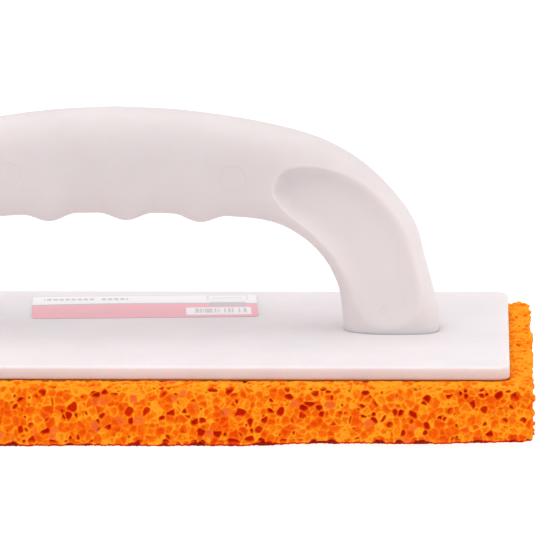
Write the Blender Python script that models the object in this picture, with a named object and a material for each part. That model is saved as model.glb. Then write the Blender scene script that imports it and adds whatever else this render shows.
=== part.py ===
"""Sponge grout float: a moulded D-grip screwed to a flat plate that carries a foam pad.

Frame: metres, +Z up, origin at the centre of the pad's working face.
+X runs along the float's length and +Y across it, towards the label's side of the plate.
The grip, the plate and the pad are symmetric about X = 0 and Y = 0, apart from the finger
ridges and the label.
"""

import math

import bmesh
import bpy
import numpy as np

MM = 0.001
GAP = 0.0002  # clearance between two pieces that touch

# Foam pad and the adhesive film that bonds it to the plate
PAD_LENGTH = 0.280
PAD_WIDTH = 0.140
PAD_THICKNESS = 0.0198
PAD_CORNER_RADIUS = 0.0025
FILM_THICKNESS = 0.0002
FILM_INSET = 0.0006

# Moulded plate
PLATE_LENGTH = 0.2646
PLATE_WIDTH = 0.1266
PLATE_THICKNESS = 0.0045
PLATE_CORNER_RADIUS = 0.0045
PLATE_EDGE_ROUND = 0.0007

# Label on the plate, laid by hand and so a little askew
LABEL_LENGTH = 0.0773
LABEL_WIDTH = 0.0369
LABEL_THICKNESS = 0.00015
LABEL_CORNER_RADIUS = 0.002
LABEL_CENTRE = (0.0076, 0.0350)
LABEL_TURN = math.radians(3.3)

# Self-tapping countersunk screws, two under each foot of the grip
SCREW_LENGTH = 0.020
SCREW_RADIUS = 0.00195
SCREW_TIP_RADIUS = 0.0004
SCREW_TIP_LENGTH = 0.0035
HEAD_RADIUS = 0.0040
HEAD_RIM = 0.0004
HEAD_RECESS_ARM = 0.0042
HEAD_RECESS_WIDTH = 0.0010
HEAD_RECESS_DEPTH = 0.0014
HEAD_SUNK = 0.0001
CLEARANCE_RADIUS = 0.0023
SINK_RADIUS = 0.0044
PILOT_RADIUS = 0.0022
PILOT_DEPTH = 0.0172
FOOT_CENTRE = 0.0925
SCREW_SPACING = 0.016

# Levels, worked out from the thicknesses
FILM_BOTTOM = PAD_THICKNESS + GAP
PLATE_BOTTOM = FILM_BOTTOM + FILM_THICKNESS + GAP
PLATE_TOP = PLATE_BOTTOM + PLATE_THICKNESS
SEAT = PLATE_TOP + GAP  # the grip's feet and the label lie at this level

# The grip's right half as ribs in millimetres, from its crown to the foot's sole:
# outer edge x and z, inner edge x and z, half depth. Heights are above the seat.
GRIP_RIBS = (
    (0.0, 75.5, 0.0, 39.7, 14.0),
    (20.0, 74.5, 19.0, 39.4, 14.0),
    (38.0, 72.25, 36.0, 38.6, 14.0),
    (55.0, 68.95, 48.0, 37.6, 13.9),
    (69.1, 64.7, 56.0, 35.4, 13.7),
    (81.1, 58.2, 63.2, 31.1, 13.4),
    (90.5, 50.0, 68.2, 26.4, 13.0),
    (97.4, 41.7, 71.5, 21.9, 12.5),
    (101.5, 34.4, 73.5, 17.9, 12.0),
    (103.85, 25.2, 75.0, 13.8, 11.5),
    (107.1, 13.1, 75.8, 9.0, 11.2),
    (108.7, 7.0, 76.2, 4.6, 11.0),
    (108.9, 0.0, 76.5, 0.0, 10.8),
)
GRIP_ROUNDNESS = 2.3  # superellipse exponent of the cross-section
FOOT_SQUARENESS = 1.3  # added to the exponent on the foot's outer side
FOOT_SQUARE_FROM = 30.0  # height in millimetres at which the squaring begins

# Ridges between the fingers, in millimetres
RIDGE_PLACES = (-22.3, 3.4, 28.2)
RIDGE_HEIGHT = 2.6
RIDGE_HALF_WIDTH = 9.4

# Dished thumb rest on both faces of each leg: its rim as seen from the side, in millimetres
DISH_RIM = (
    (53.3, 49.2),
    (56.3, 55.8),
    (65.5, 57.4),
    (77.0, 54.7),
    (87.5, 48.2),
    (95.2, 39.2),
    (100.4, 28.3),
    (103.0, 15.3),
    (100.9, 6.2),
    (90.5, 1.2),
    (81.6, 5.2),
    (78.3, 15.6),
    (74.2, 24.8),
    (66.3, 34.0),
    (57.4, 41.9),
)
DISH_WALL = 9.0  # how far in from the rim the wall meets the floor
DISH_FLOOR = 7.2  # half depth left between the two floors where they are deepest
DISH_DEEPEST_AT = 27.0  # height of the deepest place; the floor rises by the square from there
DISH_RISE_BELOW = 0.0052
DISH_RISE_ABOVE = 0.0022

# Resolution of the solids
RIB_STEPS = 4
SECTION_POINTS = 24
RIM_STEPS = 6
ROUND_SEGMENTS = 20
CORNER_SEGMENTS = 5


def clear_scene():
    for old in list(bpy.data.objects):
        bpy.data.objects.remove(old, do_unlink=True)


def make_material(name, colour, roughness, metallic=0.0):
    material = bpy.data.materials.new(name)
    material.use_nodes = True
    shader = material.node_tree.nodes["Principled BSDF"]
    shader.inputs["Base Color"].default_value = (*colour, 1.0)
    shader.inputs["Roughness"].default_value = roughness
    shader.inputs["Metallic"].default_value = metallic
    return material


def add_object(name, bm, material=None):
    """Turn a bmesh into a linked object with outward normals."""
    bmesh.ops.recalc_face_normals(bm, faces=bm.faces)
    mesh = bpy.data.meshes.new(name)
    bm.to_mesh(mesh)
    bm.free()
    obj = bpy.data.objects.new(name, mesh)
    bpy.context.scene.collection.objects.link(obj)
    if material:
        mesh.materials.append(material)
    return obj


def make_cutter(name, bm):
    obj = add_object(name, bm)
    obj.hide_render = True
    obj.display_type = "WIRE"
    return obj


def cut(obj, cutter):
    modifier = obj.modifiers.new(cutter.name, "BOOLEAN")
    modifier.operation = "DIFFERENCE"
    modifier.solver = "EXACT"
    modifier.object = cutter


def smooth_round(obj, degrees=35.0):
    obj.data.shade_smooth()
    obj.data.set_sharp_from_angle(angle=math.radians(degrees))


def smooth_curve(points, steps, closed=False):
    """Points along a centripetal Catmull-Rom curve through the given points."""
    knots = np.array(points, dtype=float)
    count = len(knots)
    if closed:
        padded = np.vstack([knots[-1:], knots, knots[:2]])
        spans = count
    else:
        first = 2.0 * knots[0] - knots[1]
        last = 2.0 * knots[-1] - knots[-2]
        padded = np.vstack([first, knots, last])
        spans = count - 1
    curve = []
    for index in range(spans):
        p0, p1, p2, p3 = padded[index:index + 4]
        t1 = np.linalg.norm(p1 - p0) ** 0.5
        t2 = t1 + np.linalg.norm(p2 - p1) ** 0.5
        t3 = t2 + np.linalg.norm(p3 - p2) ** 0.5
        for step in range(steps):
            t = t1 + (t2 - t1) * step / steps
            a1 = (t1 - t) / t1 * p0 + t / t1 * p1
            a2 = (t2 - t) / (t2 - t1) * p1 + (t - t1) / (t2 - t1) * p2
            a3 = (t3 - t) / (t3 - t2) * p2 + (t - t2) / (t3 - t2) * p3
            b1 = (t2 - t) / t2 * a1 + t / t2 * a2
            b2 = (t3 - t) / (t3 - t1) * a2 + (t - t1) / (t3 - t1) * a3
            curve.append((t2 - t) / (t2 - t1) * b1 + (t - t1) / (t2 - t1) * b2)
    if not closed:
        curve.append(knots[-1])
    return np.array(curve)


def grip_ribs():
    """Ribs from the left foot's sole over the crown to the right foot's sole."""
    right = smooth_curve(GRIP_RIBS, RIB_STEPS)
    left = right[:0:-1].copy()
    left[:, [0, 2]] *= -1.0
    return np.vstack([left, right])


def ridge_height(x):
    """Depth of the finger ridges below the grip's inner edge at x."""
    total = np.zeros_like(x)
    for place in RIDGE_PLACES:
        reach = np.clip(np.abs(x - place) / RIDGE_HALF_WIDTH, 0.0, 1.0)
        total += RIDGE_HEIGHT * (0.5 + 0.5 * np.cos(math.pi * reach))
    return total


def dish_weight(x, z, rim):
    """0 outside the dish and at its rim, rising to 1 over its floor."""
    point = np.stack([np.abs(x), z], axis=-1)
    start = rim
    end = np.roll(rim, -1, axis=0)
    edge = end - start
    offset = point[..., None, :] - start
    along = np.clip((offset * edge).sum(-1) / (edge * edge).sum(-1), 0.0, 1.0)
    nearest = offset - along[..., None] * edge
    distance = np.sqrt((nearest * nearest).sum(-1)).min(axis=-1)
    level = point[..., None, 1]
    crosses = (start[:, 1] > level) != (end[:, 1] > level)
    rise = np.where(np.abs(edge[:, 1]) < 1e-9, 1e-9, edge[:, 1])
    crossing = start[:, 0] + (level - start[:, 1]) / rise * edge[:, 0]
    inside = (crosses & (point[..., None, 0] < crossing)).sum(-1) % 2 == 1
    reach = np.clip(distance / DISH_WALL, 0.0, 1.0)
    return np.where(inside, 1.0 - (1.0 - reach) ** 2, 0.0)


def grip_points():
    """Rings of points around the grip, in metres."""
    ribs = grip_ribs()
    outer_x, outer_z, inner_x, inner_z, half_depth = (column[:, None] for column in ribs.T)
    inner_z = inner_z - ridge_height(inner_x)
    angle = 2.0 * math.pi * np.arange(SECTION_POINTS) / SECTION_POINTS
    across = np.sin(angle)[None, :]
    deep = np.cos(angle)[None, :]
    squaring = np.clip(1.0 - outer_z / FOOT_SQUARE_FROM, 0.0, 1.0) * FOOT_SQUARENESS
    exponent = GRIP_ROUNDNESS + np.where(across > 0.0, squaring, 0.0)
    u = np.sign(across) * np.abs(across) ** (2.0 / exponent)
    y = np.sign(deep) * np.abs(deep) ** (2.0 / exponent) * half_depth
    x = inner_x + (outer_x - inner_x) * (0.5 + 0.5 * u)
    z = inner_z + (outer_z - inner_z) * (0.5 + 0.5 * u)
    weight = dish_weight(x, z, smooth_curve(DISH_RIM, RIM_STEPS, closed=True))
    rise = np.where(z < DISH_DEEPEST_AT, DISH_RISE_BELOW, DISH_RISE_ABOVE)
    floor = np.minimum(np.abs(y), DISH_FLOOR + rise * (z - DISH_DEEPEST_AT) ** 2)
    y = np.sign(y) * (np.abs(y) + (floor - np.abs(y)) * weight)
    return np.stack([x * MM, y * MM, SEAT + z * MM], axis=-1)


def make_handle(material):
    bm = bmesh.new()
    rings = [[bm.verts.new(point) for point in ring] for ring in grip_points()]
    for ring, following in zip(rings, rings[1:]):
        for index in range(SECTION_POINTS):
            beside = (index + 1) % SECTION_POINTS
            bm.faces.new((ring[index], ring[beside], following[beside], following[index]))
    bm.faces.new(rings[0])
    bm.faces.new(rings[-1])
    handle = add_object("handle", bm, material)
    smooth_round(handle)
    return handle


def rounded_rectangle(length, width, radius, segments=CORNER_SEGMENTS):
    """Outline of a rectangle with round corners, counter-clockwise, centred on the origin."""
    outline = []
    for corner in range(4):
        sign_x = 1.0 if corner in (0, 3) else -1.0
        sign_y = 1.0 if corner in (0, 1) else -1.0
        centre_x = sign_x * (length / 2 - radius)
        centre_y = sign_y * (width / 2 - radius)
        for step in range(segments + 1):
            angle = math.pi / 2 * (corner + step / segments)
            outline.append((centre_x + radius * math.cos(angle), centre_y + radius * math.sin(angle)))
    return outline


def make_slab(name, outline, bottom, top, material, edge_round=0.0):
    """Extrude an outline from bottom to top, with its upper and lower edges rounded."""
    bm = bmesh.new()
    face = bm.faces.new([bm.verts.new((x, y, bottom)) for x, y in outline])
    grown = bmesh.ops.extrude_face_region(bm, geom=[face])
    raised = [item for item in grown["geom"] if isinstance(item, bmesh.types.BMVert)]
    bmesh.ops.translate(bm, verts=raised, vec=(0.0, 0.0, top - bottom))
    slab = add_object(name, bm, material)
    if edge_round:
        bevel = slab.modifiers.new("edge_round", "BEVEL")
        bevel.width = edge_round
        bevel.segments = 2
        bevel.limit_method = "ANGLE"
        bevel.angle_limit = math.radians(60.0)
    smooth_round(slab)
    return slab


def add_turned(bm, profile, centre):
    """Add a closed solid of revolution: profile is (radius, height) from bottom to top."""
    x, y, z = centre
    rings = []
    for radius, height in profile:
        ring = []
        for step in range(ROUND_SEGMENTS):
            angle = 2.0 * math.pi * step / ROUND_SEGMENTS
            place = (x + radius * math.cos(angle), y + radius * math.sin(angle), z + height)
            ring.append(bm.verts.new(place))
        rings.append(ring)
    for lower, upper in zip(rings, rings[1:]):
        for index in range(ROUND_SEGMENTS):
            beside = (index + 1) % ROUND_SEGMENTS
            bm.faces.new((lower[index], lower[beside], upper[beside], upper[index]))
    bm.faces.new(rings[0][::-1])
    bm.faces.new(rings[-1])


def screw_places():
    """Name and x of each screw, left foot first."""
    half = SCREW_SPACING / 2
    return (
        ("screw_left_outer", -FOOT_CENTRE - half),
        ("screw_left_inner", -FOOT_CENTRE + half),
        ("screw_right_inner", FOOT_CENTRE - half),
        ("screw_right_outer", FOOT_CENTRE + half),
    )


def cut_screw_holes(handle, plate):
    pilots = bmesh.new()
    sinks = bmesh.new()
    pilot = ((PILOT_RADIUS, -0.002), (PILOT_RADIUS, PILOT_DEPTH))
    slope = SINK_RADIUS - CLEARANCE_RADIUS
    sink = (
        (SINK_RADIUS, -0.002),
        (SINK_RADIUS, HEAD_SUNK + HEAD_RIM),
        (CLEARANCE_RADIUS, HEAD_SUNK + HEAD_RIM + slope),
        (CLEARANCE_RADIUS, PLATE_THICKNESS + 0.002),
    )
    for _, x in screw_places():
        add_turned(pilots, pilot, (x, 0.0, SEAT))
        add_turned(sinks, sink, (x, 0.0, PLATE_BOTTOM))
    cut(handle, make_cutter("pilot_hole_cutter", pilots))
    cut(plate, make_cutter("countersink_cutter", sinks))


def make_screws(material):
    head_top = HEAD_RIM + HEAD_RADIUS - SCREW_RADIUS
    profile = (
        (HEAD_RADIUS, 0.0),
        (HEAD_RADIUS, HEAD_RIM),
        (SCREW_RADIUS, head_top),
        (SCREW_RADIUS, SCREW_LENGTH - SCREW_TIP_LENGTH),
        (SCREW_TIP_RADIUS, SCREW_LENGTH),
    )
    for name, x in screw_places():
        bm = bmesh.new()
        add_turned(bm, profile, (0.0, 0.0, 0.0))
        screw = add_object(name, bm, material)
        screw.location = (x, 0.0, PLATE_BOTTOM + HEAD_SUNK)
        smooth_round(screw)
        for turn, size in enumerate(
            ((HEAD_RECESS_ARM, HEAD_RECESS_WIDTH), (HEAD_RECESS_WIDTH, HEAD_RECESS_ARM))
        ):
            slot = bmesh.new()
            bmesh.ops.create_cube(slot, size=1.0)
            bmesh.ops.scale(slot, vec=(*size, 2 * HEAD_RECESS_DEPTH), verts=slot.verts)
            cutter = make_cutter(f"{name}_recess_cutter_{turn}", slot)
            cutter.location = screw.location
            cut(screw, cutter)


def make_label(material):
    turned = []
    for x, y in rounded_rectangle(LABEL_LENGTH, LABEL_WIDTH, LABEL_CORNER_RADIUS):
        place_x = LABEL_CENTRE[0] + x * math.cos(LABEL_TURN) - y * math.sin(LABEL_TURN)
        place_y = LABEL_CENTRE[1] + x * math.sin(LABEL_TURN) + y * math.cos(LABEL_TURN)
        turned.append((place_x, place_y))
    make_slab("label", turned, SEAT, SEAT + LABEL_THICKNESS, material)


def main():
    clear_scene()
    plastic = make_material("warm_white_plastic", (0.86, 0.80, 0.78), 0.45)
    grip_plastic = make_material("warm_white_grip_plastic", (0.86, 0.79, 0.78), 0.50)
    foam = make_material("orange_foam", (0.95, 0.22, 0.01), 0.90)
    adhesive = make_material("contact_adhesive", (0.30, 0.05, 0.02), 0.60)
    steel = make_material("zinc_plated_steel", (0.62, 0.62, 0.60), 0.35, metallic=1.0)
    film = make_material("printed_label_film", (0.88, 0.40, 0.45), 0.40)

    handle = make_handle(grip_plastic)
    plate = make_slab(
        "base_plate",
        rounded_rectangle(PLATE_LENGTH, PLATE_WIDTH, PLATE_CORNER_RADIUS),
        PLATE_BOTTOM,
        PLATE_TOP,
        plastic,
        edge_round=PLATE_EDGE_ROUND,
    )
    cut_screw_holes(handle, plate)
    make_screws(steel)
    make_slab(
        "adhesive_film",
        rounded_rectangle(
            PLATE_LENGTH - 2 * FILM_INSET,
            PLATE_WIDTH - 2 * FILM_INSET,
            PLATE_CORNER_RADIUS - FILM_INSET,
        ),
        FILM_BOTTOM,
        FILM_BOTTOM + FILM_THICKNESS,
        adhesive,
    )
    make_slab(
        "sponge_pad",
        rounded_rectangle(PAD_LENGTH, PAD_WIDTH, PAD_CORNER_RADIUS),
        0.0,
        PAD_THICKNESS,
        foam,
    )
    make_label(film)


main()
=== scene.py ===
"""Looks of the sponge grout float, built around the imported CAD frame.

Lengths inside the shape functions are in millimetres, in the CAD frame: origin at the centre
of the pad's working face, +X along the float, +Y towards the label, +Z up.
"""

import math
from collections import namedtuple

import bpy
import numpy as np
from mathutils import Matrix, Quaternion, Vector


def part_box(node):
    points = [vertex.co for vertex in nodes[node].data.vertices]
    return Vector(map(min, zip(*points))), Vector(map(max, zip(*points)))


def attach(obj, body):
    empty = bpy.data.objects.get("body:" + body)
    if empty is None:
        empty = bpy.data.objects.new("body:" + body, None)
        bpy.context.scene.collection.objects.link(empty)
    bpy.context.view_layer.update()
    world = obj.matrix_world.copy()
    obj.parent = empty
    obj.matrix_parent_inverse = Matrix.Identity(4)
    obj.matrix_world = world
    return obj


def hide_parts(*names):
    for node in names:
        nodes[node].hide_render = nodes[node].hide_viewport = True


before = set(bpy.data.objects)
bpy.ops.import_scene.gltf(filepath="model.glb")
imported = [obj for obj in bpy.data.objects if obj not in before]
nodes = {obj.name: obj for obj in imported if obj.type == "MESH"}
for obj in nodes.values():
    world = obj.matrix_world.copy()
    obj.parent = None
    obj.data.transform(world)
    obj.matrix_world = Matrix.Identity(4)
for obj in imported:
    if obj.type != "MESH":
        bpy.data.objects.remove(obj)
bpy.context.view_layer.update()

MM = 0.001

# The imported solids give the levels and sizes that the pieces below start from, in millimetres
pad_low, pad_high = (np.array(corner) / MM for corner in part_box("sponge_pad"))
plate_low, plate_high = (np.array(corner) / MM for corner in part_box("base_plate"))
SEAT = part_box("handle")[0][2] / MM
PLATE_TOP = plate_high[2]

# Grip, as in the CAD: ribs of outer x and z, inner x and z, half depth, above the seat
GRIP_RIBS = (
    (0.0, 75.5, 0.0, 39.7, 14.0),
    (20.0, 74.5, 19.0, 39.4, 14.0),
    (38.0, 72.25, 36.0, 38.6, 14.0),
    (55.0, 68.95, 48.0, 37.6, 13.9),
    (69.1, 64.7, 56.0, 35.4, 13.7),
    (81.1, 58.2, 63.2, 31.1, 13.4),
    (90.5, 50.0, 68.2, 26.4, 13.0),
    (97.4, 41.7, 71.5, 21.9, 12.5),
    (101.5, 34.4, 73.5, 17.9, 12.0),
    (103.85, 25.2, 75.0, 13.8, 11.5),
    (107.1, 13.1, 75.8, 9.0, 11.2),
    (108.7, 7.0, 76.2, 4.6, 11.0),
    (108.9, 0.0, 76.5, 0.0, 10.8),
)
GRIP_ROUNDNESS = 2.3  # the section's exponent: 2 is an ellipse, more is squarer
FOOT_SQUARENESS = 1.3  # added to it on the outer side of the feet
FOOT_SQUARE_FROM = 30.0
RIDGE_PLACES = (-22.3, 3.4, 28.2)
RIDGE_HEIGHT = 2.6
RIDGE_HALF_WIDTH = 9.4
FOOT_SETTLES = 0.17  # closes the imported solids' clearance under the feet
FOOT_SETTLES_FROM = 4.0
# Rim of the right front dish, x and z; the other three mirror it
DISH_RIM = (
    (53.3, 49.2),
    (56.3, 55.8),
    (65.5, 57.4),
    (77.0, 54.7),
    (87.5, 48.2),
    (95.2, 39.2),
    (100.4, 28.3),
    (103.0, 15.3),
    (100.9, 6.2),
    (90.5, 1.2),
    (81.6, 5.2),
    (78.3, 15.6),
    (74.2, 24.8),
    (66.3, 34.0),
    (57.4, 41.9),
)
DISH_WALL = 9.0
DISH_STEEPNESS = 3.5
DISH_FLOOR = 7.2  # half of the web left between the two dishes, where they are deepest
DISH_DEEPEST_AT = 27.0
DISH_RISE_BELOW = 0.0052
DISH_RISE_ABOVE = 0.0022
RIM_STEPS = 12
GRIP_RINGS_PER_RIB = 22
GRIP_SECTION_POINTS = 200

# Foam: cells grown from a jittered lattice, cut open at the pad's faces
CELL_PITCH = 2.4
CELL_JITTER = 0.98
CELL_SIZE_SPREAD = 2.4
CELL_WARP = 0.30
WARP_WAVELENGTH = 1.9
WALL_HALF = 0.05
WALL_VARIES = 0.08
WALL_WAVELENGTH = 3.7
WALL_ROUNDING = 0.20
FAR_ASIDE = 8.0
STEEPEST = 0.62  # walls leaning out from a cell are taken as leaning in by at least this
FACING = 0.05  # a wall leaning in less than this is never met going inward
NEVER_MET = 99.0
BOWL_SOFTNESS = 0.16
BOWL_SLOPE = 3.6
SHALLOWEST_BOWL = 0.45  # floors of the closed cells
BOWLS_VARY = 0.80
FAR_BELOW = 30.0
TORN_ABOVE = 0.10  # a wall met nearer the surface than this is torn away
OPEN_CELLS = 0.16  # share of cells whose floor is broken through
SHALLOWEST_OPEN = 1.5
WINDOW_CHANCE = 0.06
SMALLEST_WINDOW = 0.5
WINDOWS_VARY = 1.5
CELLS_SEEN_THROUGH = 2
DEEPEST_PORE = 3.4  # as coloured: the painted shade in the pores reaches this deep, past the cut
DEEPEST_CUT = 1.6  # as modelled
DARKEST_DEPTH = 4.2  # depth at the far end of the foam's tones, where the painted pore shade is darkest
POINTS_AT_ONCE = 40000

# Foam: the pad's edges, faces and wear
EDGE_ZONE = 2.4  # how far in from an edge the pores turn from one face to the other
EDGE_TURN = 1.5
EDGE_PORE = 1.5
SOLE_EDGE_PORE = 0.2
TOP_ZONE = 2.5
TOP_SKIN = 0.3
TORN_END_ZONE = 3.0
SOLE_EDGE_FULL = 1.3
SOLE_EDGE_FADE = 1.2
MARGIN_SHOWN = 9.0  # width of the pad's top that is modelled as foam, under the plate's edge
MARGIN_FADE = 1.5
CONTACT_AT = 0.3  # past the plate's edge, where the foam closes up to it
CONTACT_REACH = 1.6
CONTACT_CLOSES = 0.85
MARGIN_CLOSES = 0.35
WEAR_BASE = 0.02
WEAR_WAVELENGTHS = (3.4, 1.5)
TEAR_WAVELENGTH = 2.6
TUFT_WAVELENGTH = 2.8
SWELL_WAVELENGTH = 2.1
MARGIN_TUFT_WAVELENGTH = 1.7
SOLE_SHADE_WAVELENGTH = 3.1
WEAR_OF_FACES = (0.18, 0.10, 0.12)  # on a side, less near the top, less near the sole
WEAR_OF_EDGES = (0.62, 0.47, 0.60)
TORN_END_DEPTH = 1.1
TUFT_HEIGHT = 0.8  # torn strands standing proud at the ends and edges
TUFTS_ABOVE = 0.5
TUFTS_FADE = 0.25
MARGIN_TUFTS = 0.55  # and on the margin round the plate
SWELL_HEIGHT = 0.58  # how far the foam swells up round the edge of the plate
SWELL_CREST_AT = 1.0
PLATE_CLEARANCE = 0.05
SOLE_SAG = 0.85  # how far the foam's sole hangs below its nominal face at the -X end
SOLE_RISES = ((-60, 0, 0.35), (40, 72, 0.9), (104, 138, 0.65))  # from x, to x, by how much
SOLE_SHADE_HEIGHT = 1.3  # painted shade: a dark ragged band along the sole's edge
SOLE_SHADE_VARIES = 1.1
SOLE_SHADE_DEPTH = 4.0
SOLE_SHADE_FADE = 0.3
FACE_STEP = 0.28
SOLE_COARSER = 2  # the sole's grid is this many times coarser than the sides'
BAKE_STEPS = 1024  # the export's picture of the foam is this many grid steps across
BAKE_BORDER = 0.01
BAKE_BANDS_WIDE = 1.0 - 2 * BAKE_BORDER
SOLE_PLACE = (0.97, 0.02)  # span in the picture, and height over the walls' bands
FILL_PLACE = (0.4, 0.62)
END_GAP = 4  # grid steps between the two ends in their band

LABEL_LENGTH, LABEL_WIDTH = 77.3, 36.9
LABEL_CENTRE = (7.6, 35.0)
LABEL_TURN = math.radians(3.3)
LABEL_CORNER = 2.0
LABEL_CORNER_STEPS = 12
LABEL_THICKNESS = 0.12
LABEL_EDGE = ((0.0, 0.0), (0.0, 0.6), (0.03, 0.9), (0.10, 1.0))  # inset, share of thickness
LABEL_CLEARANCE = 0.02
LABEL_BAKE_SPAN = (0.98, 0.48)  # each side of the film fills half of the export's picture
LABEL_UNDERSIDE_AT, LABEL_FACE_AT = 0.01, 0.51


# ---------------------------------------------------------------- shared mesh helpers


def new_object(name, points, faces, material, smooth=True):
    """A mesh object from points in millimetres and faces as lists of point numbers."""
    mesh = bpy.data.meshes.new(name)
    mesh.from_pydata((np.asarray(points) * MM).tolist(), [], faces)
    mesh.validate()
    if smooth:
        mesh.shade_smooth()
    mesh.materials.append(material)
    obj = bpy.data.objects.new(name, mesh)
    bpy.context.scene.collection.objects.link(obj)
    return obj


def smooth_curve(points, steps, closed=False):
    """Points along a centripetal Catmull-Rom curve through the given points."""
    knots = np.array(points, dtype=float)
    count = len(knots)
    if closed:
        padded = np.vstack([knots[-1:], knots, knots[:2]])
        spans = count
    else:
        first = 2.0 * knots[0] - knots[1]
        last = 2.0 * knots[-1] - knots[-2]
        padded = np.vstack([first, knots, last])
        spans = count - 1
    curve = []
    for index in range(spans):
        p0, p1, p2, p3 = padded[index:index + 4]
        t1 = np.linalg.norm(p1 - p0) ** 0.5
        t2 = t1 + np.linalg.norm(p2 - p1) ** 0.5
        t3 = t2 + np.linalg.norm(p3 - p2) ** 0.5
        t = (t1 + (t2 - t1) * np.arange(steps) / steps)[:, None]
        a1 = (t1 - t) / t1 * p0 + t / t1 * p1
        a2 = (t2 - t) / (t2 - t1) * p1 + (t - t1) / (t2 - t1) * p2
        a3 = (t3 - t) / (t3 - t2) * p2 + (t - t2) / (t3 - t2) * p3
        b1 = (t2 - t) / t2 * a1 + t / t2 * a2
        b2 = (t3 - t) / (t3 - t1) * a2 + (t - t1) / (t3 - t1) * a3
        curve.append((t2 - t) / (t2 - t1) * b1 + (t - t1) / (t2 - t1) * b2)
    if not closed:
        curve.append(knots[-1:])
    return np.vstack(curve)


def ring_quads(rings, around):
    """Faces between each ring of points and the next."""
    first = np.arange(rings - 1)[:, None] * around
    here = np.arange(around)[None, :]
    beside = (here + 1) % around
    corners = [first + here, first + beside, first + around + beside, first + around + here]
    return np.stack(corners, axis=-1).reshape(-1, 4).tolist()


# ---------------------------------------------------------------- grip


def grip_ribs():
    """The ribs from foot to foot, thickly spaced."""
    right = smooth_curve(GRIP_RIBS, GRIP_RINGS_PER_RIB)
    left = right[:0:-1].copy()
    left[:, [0, 2]] *= -1.0
    return np.vstack([left, right])


def ridge_height(x):
    """How far the finger ridges stand out under the grip."""
    total = np.zeros_like(x)
    for place in RIDGE_PLACES:
        reach = np.clip(np.abs(x - place) / RIDGE_HALF_WIDTH, 0.0, 1.0)
        total += RIDGE_HEIGHT * (0.5 + 0.5 * np.cos(math.pi * reach))
    return total


def rim_distance(x, z, rim):
    """Distance in from the dish's rim, 0 outside it."""
    flat = np.stack([np.abs(x), z], axis=-1).reshape(-1, 2)
    near = (flat[:, 0] > rim[:, 0].min()) & (flat[:, 1] > rim[:, 1].min())
    near &= (flat[:, 0] < rim[:, 0].max()) & (flat[:, 1] < rim[:, 1].max())
    point = flat[near]
    start = rim
    end = np.roll(rim, -1, axis=0)
    edge = end - start
    offset = point[:, None, :] - start
    along = np.clip((offset * edge).sum(-1) / (edge * edge).sum(-1), 0.0, 1.0)
    nearest = offset - along[..., None] * edge
    distance = np.sqrt((nearest * nearest).sum(-1)).min(axis=-1)
    level = point[:, None, 1]
    crosses = (start[:, 1] > level) != (end[:, 1] > level)
    rise = np.where(np.abs(edge[:, 1]) < 1e-9, 1e-9, edge[:, 1])
    crossing = start[:, 0] + (level - start[:, 1]) / rise * edge[:, 0]
    inside = (crosses & (point[:, None, 0] < crossing)).sum(-1) % 2 == 1
    result = np.zeros(len(flat))
    result[near] = np.where(inside, distance, 0.0)
    return result.reshape(x.shape)


def grip_points():
    """Points of the grip, a ring round each rib, with the ridges and the dishes in them."""
    ribs = grip_ribs()
    outer_x, outer_z, inner_x, inner_z, half_depth = (column[:, None] for column in ribs.T)
    inner_z = inner_z - ridge_height(inner_x)
    angle = 2.0 * math.pi * np.arange(GRIP_SECTION_POINTS) / GRIP_SECTION_POINTS
    across = np.sin(angle)[None, :]
    deep = np.cos(angle)[None, :]
    squaring = np.clip(1.0 - outer_z / FOOT_SQUARE_FROM, 0.0, 1.0) * FOOT_SQUARENESS
    exponent = GRIP_ROUNDNESS + np.where(across > 0.0, squaring, 0.0)
    u = np.sign(across) * np.abs(across) ** (2.0 / exponent)
    y = np.sign(deep) * np.abs(deep) ** (2.0 / exponent) * half_depth
    x = inner_x + (outer_x - inner_x) * (0.5 + 0.5 * u)
    z = inner_z + (outer_z - inner_z) * (0.5 + 0.5 * u)
    inward = rim_distance(x, z, smooth_curve(DISH_RIM, RIM_STEPS, closed=True))
    weight = 1.0 - (1.0 - np.clip(inward / DISH_WALL, 0.0, 1.0)) ** DISH_STEEPNESS
    rise = np.where(z < DISH_DEEPEST_AT, DISH_RISE_BELOW, DISH_RISE_ABOVE)
    floor = np.minimum(np.abs(y), DISH_FLOOR + rise * (z - DISH_DEEPEST_AT) ** 2)
    y = np.sign(y) * (np.abs(y) + (floor - np.abs(y)) * weight)
    settled = FOOT_SETTLES * np.clip(1.0 - z / FOOT_SETTLES_FROM, 0.0, 1.0)
    return np.stack([x, y, SEAT + z - settled], axis=-1)


def make_grip(material):
    rings = grip_points()
    count, around, _ = rings.shape
    faces = ring_quads(count, around)
    faces.append(list(range(around))[::-1])
    faces.append(list(range((count - 1) * around, count * around)))
    return new_object("grip", rings.reshape(-1, 3), faces, material)


# ---------------------------------------------------------------- foam pad


def lattice_hash(cells, salt):
    """Three repeatable random numbers from 0 to 1 for each whole-number cell."""
    c = cells.astype(np.int64)
    mixed = c[..., 0] * 73856093 ^ c[..., 1] * 19349663 ^ c[..., 2] * 83492791
    mixed = (mixed + salt * 2654435761) & 0xFFFFFFFF
    result = []
    for _ in range(3):
        mixed = (mixed ^ (mixed >> 15)) * 2246822519 & 0xFFFFFFFF
        mixed = (mixed ^ (mixed >> 13)) * 3266489917 & 0xFFFFFFFF
        mixed = mixed ^ (mixed >> 16)
        result.append(mixed / 4294967296.0)
    return np.stack(result, axis=-1)


def soft_noise(points, wavelength, salt):
    """Smooth value noise from -1 to 1."""
    scaled = points / wavelength
    base = np.floor(scaled).astype(np.int64)
    part = scaled - base
    part = part * part * (3.0 - 2.0 * part)
    total = np.zeros(len(points))
    for i in (0, 1):
        for j in (0, 1):
            for k in (0, 1):
                corner = lattice_hash(base + np.array([i, j, k]), salt)[:, 0]
                share = np.abs(1 - i - part[:, 0]) * np.abs(1 - j - part[:, 1])
                total += corner * share * np.abs(1 - k - part[:, 2])
    return 2.0 * total - 1.0


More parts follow.
